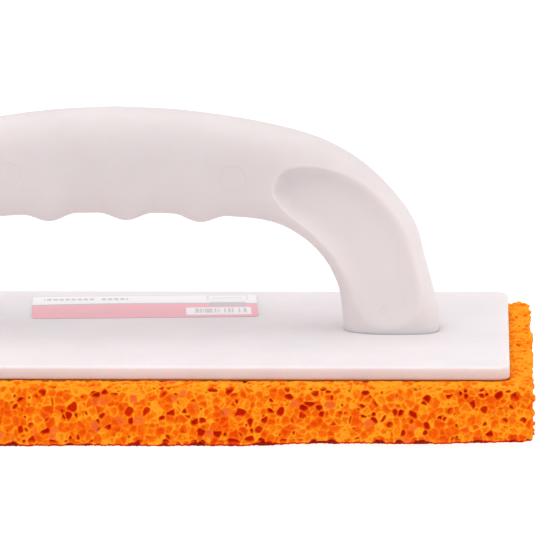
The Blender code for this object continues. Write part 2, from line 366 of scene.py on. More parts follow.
def cell_seed(cells):
    """Centre and squared-size weight of each foam cell."""
    centre = (cells + 0.5 + (lattice_hash(cells, 1) - 0.5) * CELL_JITTER) * CELL_PITCH
    weight = (lattice_hash(cells, 2)[..., 0] - 0.5) * CELL_SIZE_SPREAD
    return centre, weight


AROUND = np.array([(i, j, k) for i in (-1, 0, 1) for j in (-1, 0, 1) for k in (-1, 0, 1)])
BESIDE = AROUND[np.any(AROUND != 0, axis=1)]


def containing_cell(points):
    """The lattice cell whose foam cell holds each point."""
    home = np.floor(points / CELL_PITCH).astype(np.int64)
    cells = home[:, None, :] + AROUND[None, :, :]
    centre, weight = cell_seed(cells)
    power = ((points[:, None, :] - centre) ** 2).sum(-1) - weight
    best = power.argmin(axis=1)
    return cells[np.arange(len(points)), best]


def march(points, inward):
    """What each point sees, going inward through its foam cell.

    Returns the softened and the true depth of the far wall, the distance along the cut to the
    nearest wall, whether the far wall has a window where it is met, and the cell.
    """
    cell = containing_cell(points)
    centre, weight = cell_seed(cell)
    others = cell[:, None, :] + BESIDE[None, :, :]
    other_centre, other_weight = cell_seed(others)
    gap = other_centre - centre[:, None, :]
    length = np.sqrt((gap * gap).sum(-1))
    mine = ((points - centre) ** 2).sum(-1) - weight
    theirs = ((points[:, None, :] - other_centre) ** 2).sum(-1) - other_weight
    sideways = (theirs - mine[:, None]) / (2.0 * length)
    slope = (gap * inward[:, None, :]).sum(-1) / length
    flat = np.sqrt(np.clip(1.0 - slope * slope, 0.02, 1.0))
    across = np.clip(sideways / flat, 0.0, FAR_ASIDE)
    aside = -WALL_ROUNDING * np.log(np.exp(-across / WALL_ROUNDING).sum(axis=1))
    ahead = slope > FACING
    run = (sideways - WALL_HALF) / np.where(ahead, slope, 1.0)
    run = np.where(ahead, run, NEVER_MET)
    nearest = run.argmin(axis=1)
    rows = np.arange(len(points))
    hard = run[rows, nearest]
    bowl = (sideways - WALL_HALF) / np.clip(slope, STEEPEST, 1.0)
    bowl = np.clip(bowl, -1.0, FAR_BELOW)
    soft = -BOWL_SOFTNESS * np.log(np.exp(-bowl / BOWL_SOFTNESS).sum(axis=1))
    met = points + inward * (hard + WALL_HALF)[:, None]
    axis = gap[rows, nearest] / length[rows, nearest][:, None]
    offset = met - centre
    radial = offset - (offset * axis).sum(-1)[:, None] * axis
    from_axis = np.sqrt((radial * radial).sum(-1))
    behind = others[rows, nearest]
    chance = lattice_hash(np.minimum(cell, behind) * 7 + np.maximum(cell, behind), 3)
    radius = SMALLEST_WINDOW + WINDOWS_VARY * chance[:, 1]
    window = np.where(chance[:, 0] < WINDOW_CHANCE, radius, 0.0)
    return soft, hard, aside, from_axis < window, cell


def foam_depth(points, inward, limit):
    """Depth of the pores under each surface point, and a random tone per cell."""
    depth = np.zeros(len(points))
    tone = np.zeros(len(points))
    past_wall = 2.5 * WALL_HALF
    for start in range(0, len(points), POINTS_AT_ONCE):
        part = slice(start, start + POINTS_AT_ONCE)
        p, n = points[part], inward[part]
        warp = [soft_noise(p, WARP_WAVELENGTH, salt) for salt in (7, 8, 9)]
        p = p + CELL_WARP * np.stack(warp, axis=-1)
        soft, hard, aside, opened, cell = march(p, n)
        wall = WALL_HALF + WALL_VARIES * soft_noise(p, WALL_WAVELENGTH, 10)
        random = lattice_hash(cell, 4)
        floor = SHALLOWEST_BOWL + BOWLS_VARY * random[:, 1]
        broken = random[:, 2] < OPEN_CELLS
        beyond = SHALLOWEST_OPEN + (DEEPEST_PORE - SHALLOWEST_OPEN) * random[:, 1]
        total = floor * (1.0 - np.exp(-np.clip(soft, 0.0, FAR_BELOW) / floor))
        total = np.where(broken, beyond, total)
        deeper = opened | (hard < TORN_ABOVE)
        step = np.clip(hard, 0.0, FAR_BELOW) + past_wall
        for _ in range(CELLS_SEEN_THROUGH):
            rows = np.nonzero(deeper)[0]
            if not len(rows):
                break
            q = p[rows] + n[rows] * step[rows, None]
            soft2, hard2, _, opened2, _ = march(q, n[rows])
            total[rows] = step[rows] + np.clip(soft2, 0.0, FAR_BELOW)
            step[rows] += np.clip(hard2, 0.0, FAR_BELOW) + past_wall
            deeper = np.zeros(len(p), bool)
            deeper[rows] = opened2 & (step[rows] < DEEPEST_PORE)
        side_slope = BOWL_SLOPE * np.clip(aside - wall, 0.0, FAR_BELOW)
        depth[part] = np.minimum(np.minimum(total, limit[part]), side_slope)
        tone[part] = random[:, 0]
    return depth, tone


def ring_points(length, width, count_x, count_y):
    """Points round a rectangle, counter-clockwise from its low corner, with no repeats."""
    x = length * (np.arange(count_x) / count_x - 0.5)
    y = width * (np.arange(count_y) / count_y - 0.5)
    low_x, high_x = np.full(count_y, -length / 2), np.full(count_y, length / 2)
    low_y, high_y = np.full(count_x, -width / 2), np.full(count_x, width / 2)
    return np.vstack([
        np.stack([x, low_y], axis=-1),
        np.stack([high_x, y], axis=-1),
        np.stack([-x, high_y], axis=-1),
        np.stack([low_x, -y], axis=-1),
    ])


def pad_shell():
    """Undisturbed points, faces and bake places of the pad: walls, top margin, fill and sole."""
    length, width, height = pad_high - pad_low
    count_x = 4 * round(length / FACE_STEP / 4)
    count_y = 4 * round(width / FACE_STEP / 4)
    count_z = round(height / FACE_STEP)
    margin_rows = round(MARGIN_SHOWN / FACE_STEP)
    around = 2 * (count_x + count_y)
    loops = []
    for row in range(count_z + 1):
        ring = ring_points(length, width, count_x, count_y)
        loops.append(np.column_stack([ring, np.full(around, height * row / count_z)]))
    for row in range(1, margin_rows + 1):
        inset = 2.0 * MARGIN_SHOWN * row / margin_rows
        ring = ring_points(length - inset, width - inset, count_x, count_y)
        loops.append(np.column_stack([ring, np.full(around, height)]))
    rows = len(loops)
    points = np.vstack(loops)
    faces = ring_quads(rows, around)
    places = [wall_places(rows, count_x, count_y)]

    fill = np.arange((rows - 1) * around, rows * around)
    faces.append(fill.tolist())
    bands_top = 3 * rows / BAKE_STEPS
    span, above = FILL_PLACE
    places.append(flat_places(points[fill], span, bands_top + above))

    # The sole is a coarser grid, joined to the walls' lowest loop by a strip of triangles
    sole_x, sole_y = count_x // SOLE_COARSER, count_y // SOLE_COARSER
    inset = FACE_STEP * SOLE_COARSER
    grid_x = (length - 2 * inset) * (np.arange(sole_x + 1) / sole_x - 0.5)
    grid_y = (width - 2 * inset) * (np.arange(sole_y + 1) / sole_y - 0.5)
    mesh_x, mesh_y = np.meshgrid(grid_x, grid_y)
    base = len(points)
    sole = np.stack([mesh_x.ravel(), mesh_y.ravel(), np.zeros(mesh_x.size)], axis=-1)
    points = np.vstack([points, sole])
    index = base + np.arange(mesh_x.size).reshape(sole_y + 1, sole_x + 1)
    quads = np.stack([index[:-1, :-1], index[1:, :-1], index[1:, 1:], index[:-1, 1:]], axis=-1)
    sole_faces = quads.reshape(-1, 4).tolist()
    border = np.concatenate(
        [index[0, :-1], index[:-1, -1], index[-1, :0:-1], index[:0:-1, 0]]
    )
    for step in range(len(border)):
        inner, inner_next = int(border[step]), int(border[(step + 1) % len(border)])
        outer = [(step * SOLE_COARSER + part) % around for part in range(SOLE_COARSER + 1)]
        for part in range(SOLE_COARSER):
            sole_faces.append([inner, outer[part + 1], outer[part]])
        sole_faces.append([inner, inner_next, outer[-1]])
    faces.extend(sole_faces)
    corners = np.concatenate([np.array(face) for face in sole_faces])
    span, above = SOLE_PLACE
    places.append(flat_places(points[corners], span, bands_top + above))
    return points, faces, np.vstack(places)


def wall_places(rows, count_x, count_y):
    """Bake places of the walls: the front, the back and both ends, each a band of the picture."""
    around = 2 * (count_x + count_y)
    column = np.arange(around)
    last_wall = 2 * count_x + count_y
    before_end = [column < count_x, column < count_x + count_y, column < last_wall]
    band = np.select(before_end, [0, 2, 1], 2)
    start = np.select(before_end, [0, count_x, count_x + count_y], 2 * count_x)
    scale = BAKE_BANDS_WIDE / max(count_x, 2 * count_y + END_GAP)
    shift = np.where(column >= last_wall, END_GAP, 0)
    left = (column - start + shift) * scale + BAKE_BORDER
    low = (np.arange(rows - 1)[:, None] + band[None, :] * (rows + 2)) / BAKE_STEPS
    left = np.broadcast_to(left[None, :], low.shape)
    step = 1.0 / BAKE_STEPS
    corners = [(left, low), (left + scale, low), (left + scale, low + step), (left, low + step)]
    return np.stack([np.stack(corner, axis=-1) for corner in corners], axis=2).reshape(-1, 2)


def flat_places(points, span, low):
    """Bake places of level points, laid out as seen from above."""
    length = pad_high[0] - pad_low[0]
    flat = points[:, :2] / length * span
    flat = flat - flat.min(axis=0)
    return flat + np.array([BAKE_BORDER, low])


Spots = namedtuple("Spots", "crowding near_top near_sole torn_end past_plate on_margin")


def look_round(points):
    """The way in from each point of the pad, and where it lies among its edges and the plate."""
    half_x, half_y = (pad_high[:2] - pad_low[:2]) / 2
    height = pad_high[2] - pad_low[2]
    x, y, z = points.T
    reach = np.stack([half_x - np.abs(x), half_y - np.abs(y), np.minimum(z, height - z)], axis=-1)
    pull = np.clip(1.0 - reach / EDGE_ZONE, 0.0, 1.0) ** EDGE_TURN
    side = np.sign(np.stack([x, y, z - height / 2], axis=-1))
    inward = -side * pull
    inward /= np.linalg.norm(inward, axis=1)[:, None]
    torn_end = np.clip(1.0 - reach[:, 0] / TORN_END_ZONE, 0.0, 1.0)
    near_sole = np.clip(SOLE_EDGE_FULL - z / SOLE_EDGE_FADE, 0.0, 1.0) * (1.0 - torn_end)
    past_plate = np.maximum(np.abs(x) - plate_high[0], np.abs(y) - plate_high[1])
    on_top = np.clip((z - height + TOP_SKIN) / TOP_SKIN, 0.0, 1.0)
    spots = Spots(
        crowding=np.sort(pull, axis=1)[:, 1],
        near_top=np.clip((z - height + TOP_ZONE) / TOP_ZONE, 0.0, 1.0),
        near_sole=near_sole,
        torn_end=torn_end,
        past_plate=past_plate,
        on_margin=on_top * np.clip(past_plate / MARGIN_FADE, 0.0, 1.0),
    )
    hidden = (z > height - 1e-6) & (reach[:, :2].min(axis=1) > MARGIN_SHOWN - 0.1)
    return inward, spots, hidden


def pore_limit(spots):
    """How deep a pore may go: less along the edges, and least where the foam meets the plate."""
    edge_pore = EDGE_PORE + (SOLE_EDGE_PORE - EDGE_PORE) * spots.near_sole
    limit = DEEPEST_PORE + (edge_pore - DEEPEST_PORE) * np.clip(spots.crowding * 3.0, 0.0, 1.0)
    off_contact = np.abs(spots.past_plate - CONTACT_AT)
    at_plate = spots.near_top * np.clip(1.0 - off_contact / CONTACT_REACH, 0.0, 1.0)
    return limit * (1.0 - CONTACT_CLOSES * at_plate) * (1.0 - MARGIN_CLOSES * spots.on_margin)


def foam_wear(points, spots):
    """How far the worn and torn foam lies in from the pad's nominal faces."""
    long_wave, short_wave = WEAR_WAVELENGTHS
    ragged = soft_noise(points, long_wave, 5) + 0.6 * soft_noise(points, short_wave, 6)
    side, at_top, at_sole = WEAR_OF_EDGES
    edge_wear = side - at_top * spots.near_top - at_sole * spots.near_sole
    side, at_top, at_sole = WEAR_OF_FACES
    roughness = side - at_top * spots.near_top - at_sole * spots.near_sole
    roughness += edge_wear * spots.crowding
    worn = np.clip(WEAR_BASE + roughness * (0.9 + ragged), 0.0, 2.0)
    tear = np.clip(soft_noise(points * (1.0, 0.25, 1.0), TEAR_WAVELENGTH, 11), 0.0, 1.0)
    worn += TORN_END_DEPTH * spots.torn_end * tear
    tuft = soft_noise(points, TUFT_WAVELENGTH, 13)
    tuft = np.clip((tuft - TUFTS_ABOVE) / TUFTS_FADE, 0.0, 1.0)
    tuft *= np.clip(spots.torn_end + spots.crowding, 0.0, 1.0) * (1.0 - spots.near_sole)
    return worn - TUFT_HEIGHT * tuft


def plate_swell(points, spots):
    """How far the foam rises round the plate's edge; under the plate it stays clear of it."""
    crest = 1.5 - np.abs(spots.past_plate - SWELL_CREST_AT) / 2.0
    swell = np.clip(crest, 0.0, 1.0) * spots.near_top
    swell *= SWELL_HEIGHT * (0.75 + 0.35 * soft_noise(points, SWELL_WAVELENGTH, 12))
    tufts = soft_noise(points * (2.2, 1.0, 1.0), MARGIN_TUFT_WAVELENGTH, 14)
    swell += spots.on_margin * MARGIN_TUFTS * tufts
    below_plate = plate_low[2] - pad_high[2] - PLATE_CLEARANCE
    return np.where(spots.past_plate < 0.1, np.minimum(swell, below_plate), swell)


def sole_lift(points):
    """The sole's sag and its rises along the pad, fading out towards the top."""
    lift = np.full(len(points), -SOLE_SAG)
    for start, end, rise in SOLE_RISES:
        share = np.clip((points[:, 0] - start) / (end - start), 0.0, 1.0)
        lift += rise * share * share * (3.0 - 2.0 * share)
    return lift * (1.0 - np.clip(points[:, 2] / (pad_high[2] - pad_low[2]), 0.0, 1.0))


def sole_painted_shade(points, spots):
    """1 on the painted shade, a dark ragged band along the sole's edge."""
    along = points * (1.0, 1.0, 0.0)
    varied = 0.42 + SOLE_SHADE_VARIES * soft_noise(along, SOLE_SHADE_WAVELENGTH, 15)
    sole_shade_top = SOLE_SHADE_HEIGHT * np.clip(varied, 0.38, 1.6)
    sole_shade = np.clip((sole_shade_top - points[:, 2]) / SOLE_SHADE_FADE, 0.0, 1.0)
    return sole_shade * np.clip(4.0 * spots.crowding - 1.0, 0.0, 1.0)


def make_pad(material):
    points, faces, places = pad_shell()
    inward, spots, hidden = look_round(points)
    depth, tone = foam_depth(points, inward, pore_limit(spots))
    worn = foam_wear(points, spots)
    depth[hidden] = 0.0
    worn[hidden] = 0.0
    moved = points + inward * (np.minimum(depth, DEEPEST_CUT) + worn)[:, None]
    moved[:, 2] += pad_low[2]
    moved[:, 2] += plate_swell(points, spots)
    moved[:, 2] += sole_lift(points)
    pad = new_object("foam_pad", moved, faces, material)
    # painted shade: the foam's colour darkens with the pores' depth and along the sole's edge
    store(pad, "pore_depth_painted_shade", depth + SOLE_SHADE_DEPTH * sole_painted_shade(points, spots))
    store(pad, "cell_tone", tone)
    lay_out(pad, places)
    return pad


def lay_out(obj, places):
    """Give each face corner its place in the picture that the export bakes."""
    layer = obj.data.uv_layers.new(name="OFBake")
    layer.uv.foreach_set("vector", np.asarray(places, dtype=np.float32).ravel())


def store(obj, name, values):
    """Keep a number per point for the material to read."""
    layer = obj.data.attributes.new(name, "FLOAT", "POINT")
    layer.data.foreach_set("value", np.asarray(values, dtype=np.float32))


# ---------------------------------------------------------------- materials


def new_material(name):
    material = bpy.data.materials.new(name)
    material.use_nodes = True
    tree = material.node_tree
    return material, tree, tree.nodes["Principled BSDF"]


def calc(tree, operation, first, second=0.0):
    """A Math node on two sockets or plain numbers; returns its result's socket."""
    node = tree.nodes.new("ShaderNodeMath")
    node.operation = operation
    for socket, value in zip(node.inputs, (first, second)):
        if isinstance(value, bpy.types.NodeSocket):
            tree.links.new(value, socket)
        else:
            socket.default_value = value
    return node.outputs[0]


def blend(tree, share, under, over):
    """Colour 'over' laid on 'under' by a share; each is a socket or a plain colour."""
    node = tree.nodes.new("ShaderNodeMix")
    node.data_type = "RGBA"
    sockets = (node.inputs[0], node.inputs[6], node.inputs[7])
    for socket, value in zip(sockets, (share, under, over)):
        if isinstance(value, bpy.types.NodeSocket):
            tree.links.new(value, socket)
        elif isinstance(value, float):
            socket.default_value = value
        else:
            socket.default_value = (*value, 1.0)
    return node.outputs[2]


def noise(tree, place, scale, detail=3.0, stretch=None):
    node = tree.nodes.new("ShaderNodeTexNoise")
    node.inputs["Scale"].default_value = scale
    node.inputs["Detail"].default_value = detail
    if stretch:
        mapping = tree.nodes.new("ShaderNodeMapping")
        mapping.inputs["Scale"].default_value = stretch
        tree.links.new(place, mapping.inputs["Vector"])
        place = mapping.outputs["Vector"]
    tree.links.new(place, node.inputs["Vector"])
    return node.outputs["Fac"]


def spread(tree, value, low, high, to_low=0.0, to_high=1.0):
    """Maps a value's range onto another one, clamped and eased."""
    node = tree.nodes.new("ShaderNodeMapRange")
    node.interpolation_type = "SMOOTHSTEP"
    tree.links.new(value, node.inputs["Value"])
    numbers = {"From Min": low, "From Max": high, "To Min": to_low, "To Max": to_high}
    for name, number in numbers.items():
        node.inputs[name].default_value = number
    return node.outputs["Result"]


def add_bump(tree, shader, height, distance, strength=1.0):
    node = tree.nodes.new("ShaderNodeBump")
    node.inputs["Strength"].default_value = strength
    node.inputs["Distance"].default_value = distance
    tree.links.new(height, node.inputs["Height"])
    tree.links.new(node.outputs["Normal"], shader.inputs["Normal"])


def object_place(tree):
    return tree.nodes.new("ShaderNodeTexCoord").outputs["Object"]


# Plastics; the grip is painted lighter low down, painted light that brightens its feet and fades
# out towards its top
GRIP_COLOUR = (0.670, 0.610, 0.614)
PAINTED_LIGHT_COLOUR = (0.800, 0.732, 0.728)
PLATE_COLOUR = (0.748, 0.692, 0.708)
DEEPER = 0.955
WARMER = (0.97, 0.93, 0.91)
PAINTED_LIGHT_FULL_BELOW = 50.0
PAINTED_LIGHT_GONE_ABOVE = 99.0
PAINTED_LIGHT_MOST = 0.8
GRIP_MARKS = ((39.9, SEAT + 53.5, 4.1), (-35.4, SEAT + 54.8, 3.8), (90.0, SEAT + 7.5, 1.1))
MARK_LINE = 0.35
MARK_SLOPE = 0.4


def make_plastic(name, colour, marks=(), painted_light_low=None):
    """Moulded plastic: faint clouding, specks, uneven sheen and a fine grain.

    marks are round witness marks on the -Y face: x, z and radius in millimetres. The optional
    colour for low down is painted light: the plastic is drawn lighter towards the feet, fading
    out upwards.
    """
    material, tree, shader = new_material(name)
    shader.inputs["Specular IOR Level"].default_value = 0.3
    shader.inputs["Subsurface Weight"].default_value = 0.6
    shader.inputs["Subsurface Radius"].default_value = (1.0, 0.75, 0.65)
    shader.inputs["Subsurface Scale"].default_value = 5.0 * MM
    place = object_place(tree)
    cloud = noise(tree, place, 38.0, 4.0)
    fine = noise(tree, place, 620.0, 3.0)
    grain = noise(tree, place, 1900.0, 2.0)
    axes = tree.nodes.new("ShaderNodeSeparateXYZ")
    tree.links.new(place, axes.inputs[0])
    deeper = tuple(DEEPER * part for part in colour)
    warmer = tuple(share * part for share, part in zip(WARMER, colour))
    shade = blend(tree, spread(tree, cloud, 0.35, 0.65), deeper, colour)
    shade = blend(tree, spread(tree, fine, 0.30, 0.75, 0.0, 0.30), shade, deeper)
    speck = spread(tree, noise(tree, place, 260.0, 0.0), 0.73, 0.77, 0.0, 0.3)
    shade = blend(tree, speck, shade, warmer)
    # painted light: the colour is lighter low down, towards the feet, and fades out towards the
    # top
    if painted_light_low:
        up = axes.outputs["Z"]
        painted_light_share = spread(tree, up, PAINTED_LIGHT_FULL_BELOW * MM, PAINTED_LIGHT_GONE_ABOVE * MM, PAINTED_LIGHT_MOST, 0.0)
        shade = blend(tree, painted_light_share, shade, painted_light_low)
    coarse_part = calc(tree, "MULTIPLY", fine, 0.5)
    height = calc(tree, "ADD", coarse_part, calc(tree, "MULTIPLY", grain, 0.3))
    in_front = calc(tree, "LESS_THAN", axes.outputs["Y"], 0.0)
    for x, z, radius in marks:
        aside = calc(tree, "SUBTRACT", axes.outputs["X"], x * MM)
        above = calc(tree, "SUBTRACT", axes.outputs["Z"], z * MM)
        aside = calc(tree, "MULTIPLY", aside, aside)
        above = calc(tree, "MULTIPLY", above, above)
        reach = calc(tree, "SQRT", calc(tree, "ADD", aside, above))
        off_ring = calc(tree, "ABSOLUTE", calc(tree, "SUBTRACT", reach, radius * MM))
        ring = spread(tree, off_ring, 0.0, MARK_LINE * MM, 1.0, 0.0)
        ring = calc(tree, "MULTIPLY", in_front, ring)
        disc = spread(tree, reach, (radius - MARK_SLOPE) * MM, radius * MM, 1.0, 0.0)
        disc = calc(tree, "MULTIPLY", in_front, disc)
        shade = blend(tree, calc(tree, "MULTIPLY", ring, 0.18), shade, warmer)
        height = calc(tree, "SUBTRACT", height, calc(tree, "MULTIPLY", ring, 1.6))
        height = calc(tree, "SUBTRACT", height, calc(tree, "MULTIPLY", disc, 1.2))
    tree.links.new(shade, shader.inputs["Base Color"])
    tree.links.new(spread(tree, fine, 0.2, 0.8, 0.42, 0.56), shader.inputs["Roughness"])
    add_bump(tree, shader, height, 0.045 * MM)
    return material


# Foam's colours by depth, as a share of DARKEST_DEPTH: painted shade, darker and redder deeper in
# the pores; and a painted highlight on a few random cells
FOAM_TONES_WITH_PORE_SHADE = (
    (0.0, (0.93, 0.33, 0.012)),
    (0.04, (0.92, 0.24, 0.004)),
    (0.11, (0.89, 0.155, 0.001)),
    (0.21, (0.86, 0.098, 0.0)),
    (0.34, (0.74, 0.045, 0.0)),
    (0.50, (0.68, 0.023, 0.0)),
    (0.82, (0.54, 0.011, 0.001)),
    (1.0, (0.24, 0.010, 0.003)),
)
FOAM_PAINTED_HIGHLIGHT = (0.90, 0.26, 0.07)
FOAM_LIT = (16.0, 19.5, -0.09)  # from height, to height, how much lighter near the top


def make_foam():
    material, tree, shader = new_material("orange_foam")
    shader.inputs["Specular IOR Level"].default_value = 0.08
    place = object_place(tree)
    depth = tree.nodes.new("ShaderNodeAttribute")
    depth.attribute_name = "pore_depth_painted_shade"
    tone = tree.nodes.new("ShaderNodeAttribute")
    tone.attribute_name = "cell_tone"
    fine = noise(tree, place, 1400.0, 3.0)
    patchy = noise(tree, place, 90.0, 2.0)
    # painted shade: the deeper the pore, the darker and redder the colour
    seen = calc(tree, "MULTIPLY", depth.outputs["Fac"], 1.0 / DARKEST_DEPTH)
    seen = calc(tree, "ADD", seen, spread(tree, fine, 0.3, 0.7, -0.03, 0.05))
    seen = calc(tree, "ADD", seen, spread(tree, tone.outputs["Fac"], 0.0, 1.0, -0.05, 0.12))
    seen = calc(tree, "ADD", seen, spread(tree, patchy, 0.3, 0.7, -0.03, 0.03))
    axes = tree.nodes.new("ShaderNodeSeparateXYZ")
    tree.links.new(place, axes.inputs[0])
    up = axes.outputs["Z"]
    start, end, lighter = FOAM_LIT
    seen = calc(tree, "ADD", seen, spread(tree, up, start * MM, end * MM, 0.0, lighter))
    ramp = tree.nodes.new("ShaderNodeValToRGB")
    stops = ramp.color_ramp.elements
    while len(stops) < len(FOAM_TONES_WITH_PORE_SHADE):
        stops.new(0.5)
    for stop, (position, colour) in zip(stops, FOAM_TONES_WITH_PORE_SHADE):
        stop.position = position
        stop.color = (*colour, 1.0)
    tree.links.new(seen, ramp.inputs["Fac"])
    # painted highlight: a few random cells are drawn paler
    painted_highlight = spread(tree, tone.outputs["Fac"], 0.96, 0.98, 0.0, 0.35)
    shade = blend(tree, painted_highlight, ramp.outputs["Color"], FOAM_PAINTED_HIGHLIGHT)
    tree.links.new(shade, shader.inputs["Base Color"])
    tree.links.new(spread(tree, fine, 0.2, 0.8, 0.75, 0.95), shader.inputs["Roughness"])
    add_bump(tree, shader, fine, 0.08 * MM)
    return material


ADHESIVE_THICK, ADHESIVE_THIN = (0.62, 0.11, 0.03), (0.80, 0.24, 0.06)
STEEL_DULL, STEEL_BRIGHT = (0.50, 0.50, 0.51), (0.72, 0.71, 0.67)


def make_adhesive():
    material, tree, shader = new_material("contact_adhesive")
    place = object_place(tree)
    smear = noise(tree, place, 140.0, 4.0, (1.0, 0.3, 1.0))
    shade = blend(tree, spread(tree, smear, 0.35, 0.65), ADHESIVE_THICK, ADHESIVE_THIN)
    tree.links.new(shade, shader.inputs["Base Color"])
    tree.links.new(spread(tree, smear, 0.3, 0.7, 0.35, 0.6), shader.inputs["Roughness"])
    add_bump(tree, shader, smear, 0.05 * MM)
    return material


def make_steel():
    material, tree, shader = new_material("zinc_plated_steel")
    shader.inputs["Metallic"].default_value = 1.0
    place = object_place(tree)
    spangle = noise(tree, place, 900.0, 3.0)
    turned = noise(tree, place, 1500.0, 2.0, (0.2, 0.2, 4.0))
    shade = blend(tree, spread(tree, spangle, 0.35, 0.65), STEEL_DULL, STEEL_BRIGHT)
    tree.links.new(shade, shader.inputs["Base Color"])
    tree.links.new(spread(tree, turned, 0.3, 0.7, 0.25, 0.45), shader.inputs["Roughness"])
    add_bump(tree, shader, turned, 0.02 * MM)
    return material


# ---------------------------------------------------------------- label

INK_WHITE = (0.84, 0.81, 0.84)
INK_PINK = (0.84, 0.375, 0.43)
INK_ROSE = (0.70, 0.30, 0.35)
INK_GREY = (0.50, 0.47, 0.49)
INK_DARK = (0.30, 0.27, 0.29)
INK_LILAC = (0.62, 0.56, 0.66)

# The print, in millimetres from the label's middle
BAND_TOP = 4.6
BAND_CREST_AT = -2.0
BAND_SAG = 0.0012
LINE_OVER_BAND = 0.9
HEADING_PITCH, HEADING_SHARE = 2.1, 0.72
DASH_PITCH, DASH_SHARE = 2.6, 0.6
DASH_ROWS = ((-4.2, 11.0), (-10.8, 29.0))  # y, seed
PANELS = (  # middle, half sizes, ink, strength
    ((28.6, 13.9), (7.2, 4.4), INK_LILAC, 0.55),
    ((28.6, 13.9), (6.4, 3.6), INK_WHITE, 1.0),
    ((28.6, 13.6), (5.2, 0.9), INK_GREY, 0.5),
    ((28.6, 2.9), (6.2, 4.1), INK_GREY, 0.75),
    ((25.2, -8.6), (11.1, 6.2), INK_WHITE, 1.0),
)
BAR_PITCH, BAR_SHARE, BAR_SEED = 0.33, 0.45, 57.0
CORNER_FROM, CORNER_TO = 50.0, 56.0  # x - y where the lower right corner turns rose


def box_mask(tree, x, y, middle, half):
    """1 inside a rectangle given by its middle and half sizes in millimetres."""
    across = calc(tree, "ABSOLUTE", calc(tree, "SUBTRACT", x, middle[0]))
    up = calc(tree, "ABSOLUTE", calc(tree, "SUBTRACT", y, middle[1]))
    inside_x = calc(tree, "LESS_THAN", across, half[0])
    inside_y = calc(tree, "LESS_THAN", up, half[1])
    return calc(tree, "MULTIPLY", inside_x, inside_y)


def stripes(tree, value, pitch, share, seed):
    """1 on a random share of the steps along a value."""
    step = calc(tree, "FLOOR", calc(tree, "MULTIPLY", value, 1.0 / pitch))
    chance = tree.nodes.new("ShaderNodeTexWhiteNoise")
    chance.noise_dimensions = "1D"
    tree.links.new(calc(tree, "ADD", step, seed), chance.inputs["W"])
    return calc(tree, "LESS_THAN", chance.outputs["Value"], share)


def make_label_print():
    """A generic printed label: white band, pink band, plain blocks and a row of bars."""
    material, tree, shader = new_material("printed_label_film")
    shader.inputs["Specular IOR Level"].default_value = 0.4
    printed = tree.nodes.new("ShaderNodeAttribute")
    printed.attribute_name = "print_place"
    place = printed.outputs["Vector"]
    axes = tree.nodes.new("ShaderNodeSeparateXYZ")
    tree.links.new(place, axes.inputs[0])
    x = calc(tree, "MULTIPLY", axes.outputs["X"], 1.0 / MM)
    y = calc(tree, "MULTIPLY", axes.outputs["Y"], 1.0 / MM)
    past_crest = calc(tree, "SUBTRACT", x, BAND_CREST_AT)
    sag = calc(tree, "MULTIPLY", calc(tree, "MULTIPLY", past_crest, past_crest), BAND_SAG)
    above_band = calc(tree, "ADD", calc(tree, "SUBTRACT", y, BAND_TOP), sag)
    shade = blend(tree, calc(tree, "LESS_THAN", above_band, 0.0), INK_WHITE, INK_PINK)
    off_line = calc(tree, "ABSOLUTE", calc(tree, "SUBTRACT", above_band, LINE_OVER_BAND))
    shade = blend(tree, spread(tree, off_line, 0.6, 1.1, 1.0, 0.0), shade, INK_GREY)

    along = calc(tree, "FRACT", calc(tree, "MULTIPLY", x, 1.0 / HEADING_PITCH))
    blocks = calc(tree, "LESS_THAN", along, HEADING_SHARE)
    words = calc(tree, "ADD", box_mask(tree, x, y, (-26.0, 13.4), (8.6, 1.5)),
                 box_mask(tree, x, y, (-10.4, 13.4), (4.8, 1.5)))
    heading = calc(tree, "MULTIPLY", words, blocks)
    shade = blend(tree, calc(tree, "MULTIPLY", heading, 0.6), shade, INK_DARK)
    for row, seed in DASH_ROWS:
        dashes = calc(tree, "MULTIPLY", box_mask(tree, x, y, (-9.0, row), (25.0, 1.1)),
                      stripes(tree, x, DASH_PITCH, DASH_SHARE, seed))
        shade = blend(tree, calc(tree, "MULTIPLY", dashes, 0.40), shade, INK_GREY)

    for middle, half, ink, strength in PANELS:
        panel = box_mask(tree, x, y, middle, half)
        shade = blend(tree, calc(tree, "MULTIPLY", panel, strength), shade, ink)
    bars = calc(tree, "MULTIPLY", box_mask(tree, x, y, (26.0, -7.8), (8.8, 3.6)),
                stripes(tree, x, BAR_PITCH, BAR_SHARE, BAR_SEED))
    shade = blend(tree, calc(tree, "MULTIPLY", bars, 0.5), shade, INK_DARK)
    to_corner = calc(tree, "SUBTRACT", x, y)
    in_corner = spread(tree, to_corner, CORNER_FROM, CORNER_TO, 0.0, 0.6)
    shade = blend(tree, in_corner, shade, INK_ROSE)

    fibre = noise(tree, place, 700.0, 3.0)
    faded = spread(tree, fibre, 0.3, 0.7, 0.0, 0.10)
    tree.links.new(blend(tree, faded, shade, INK_WHITE), shader.inputs["Base Color"])
    tree.links.new(spread(tree, fibre, 0.3, 0.7, 0.32, 0.46), shader.inputs["Roughness"])
    creases = noise(tree, place, 60.0, 2.0, (1.0, 0.4, 1.0))
    add_bump(tree, shader, creases, 0.10 * MM)
    return material


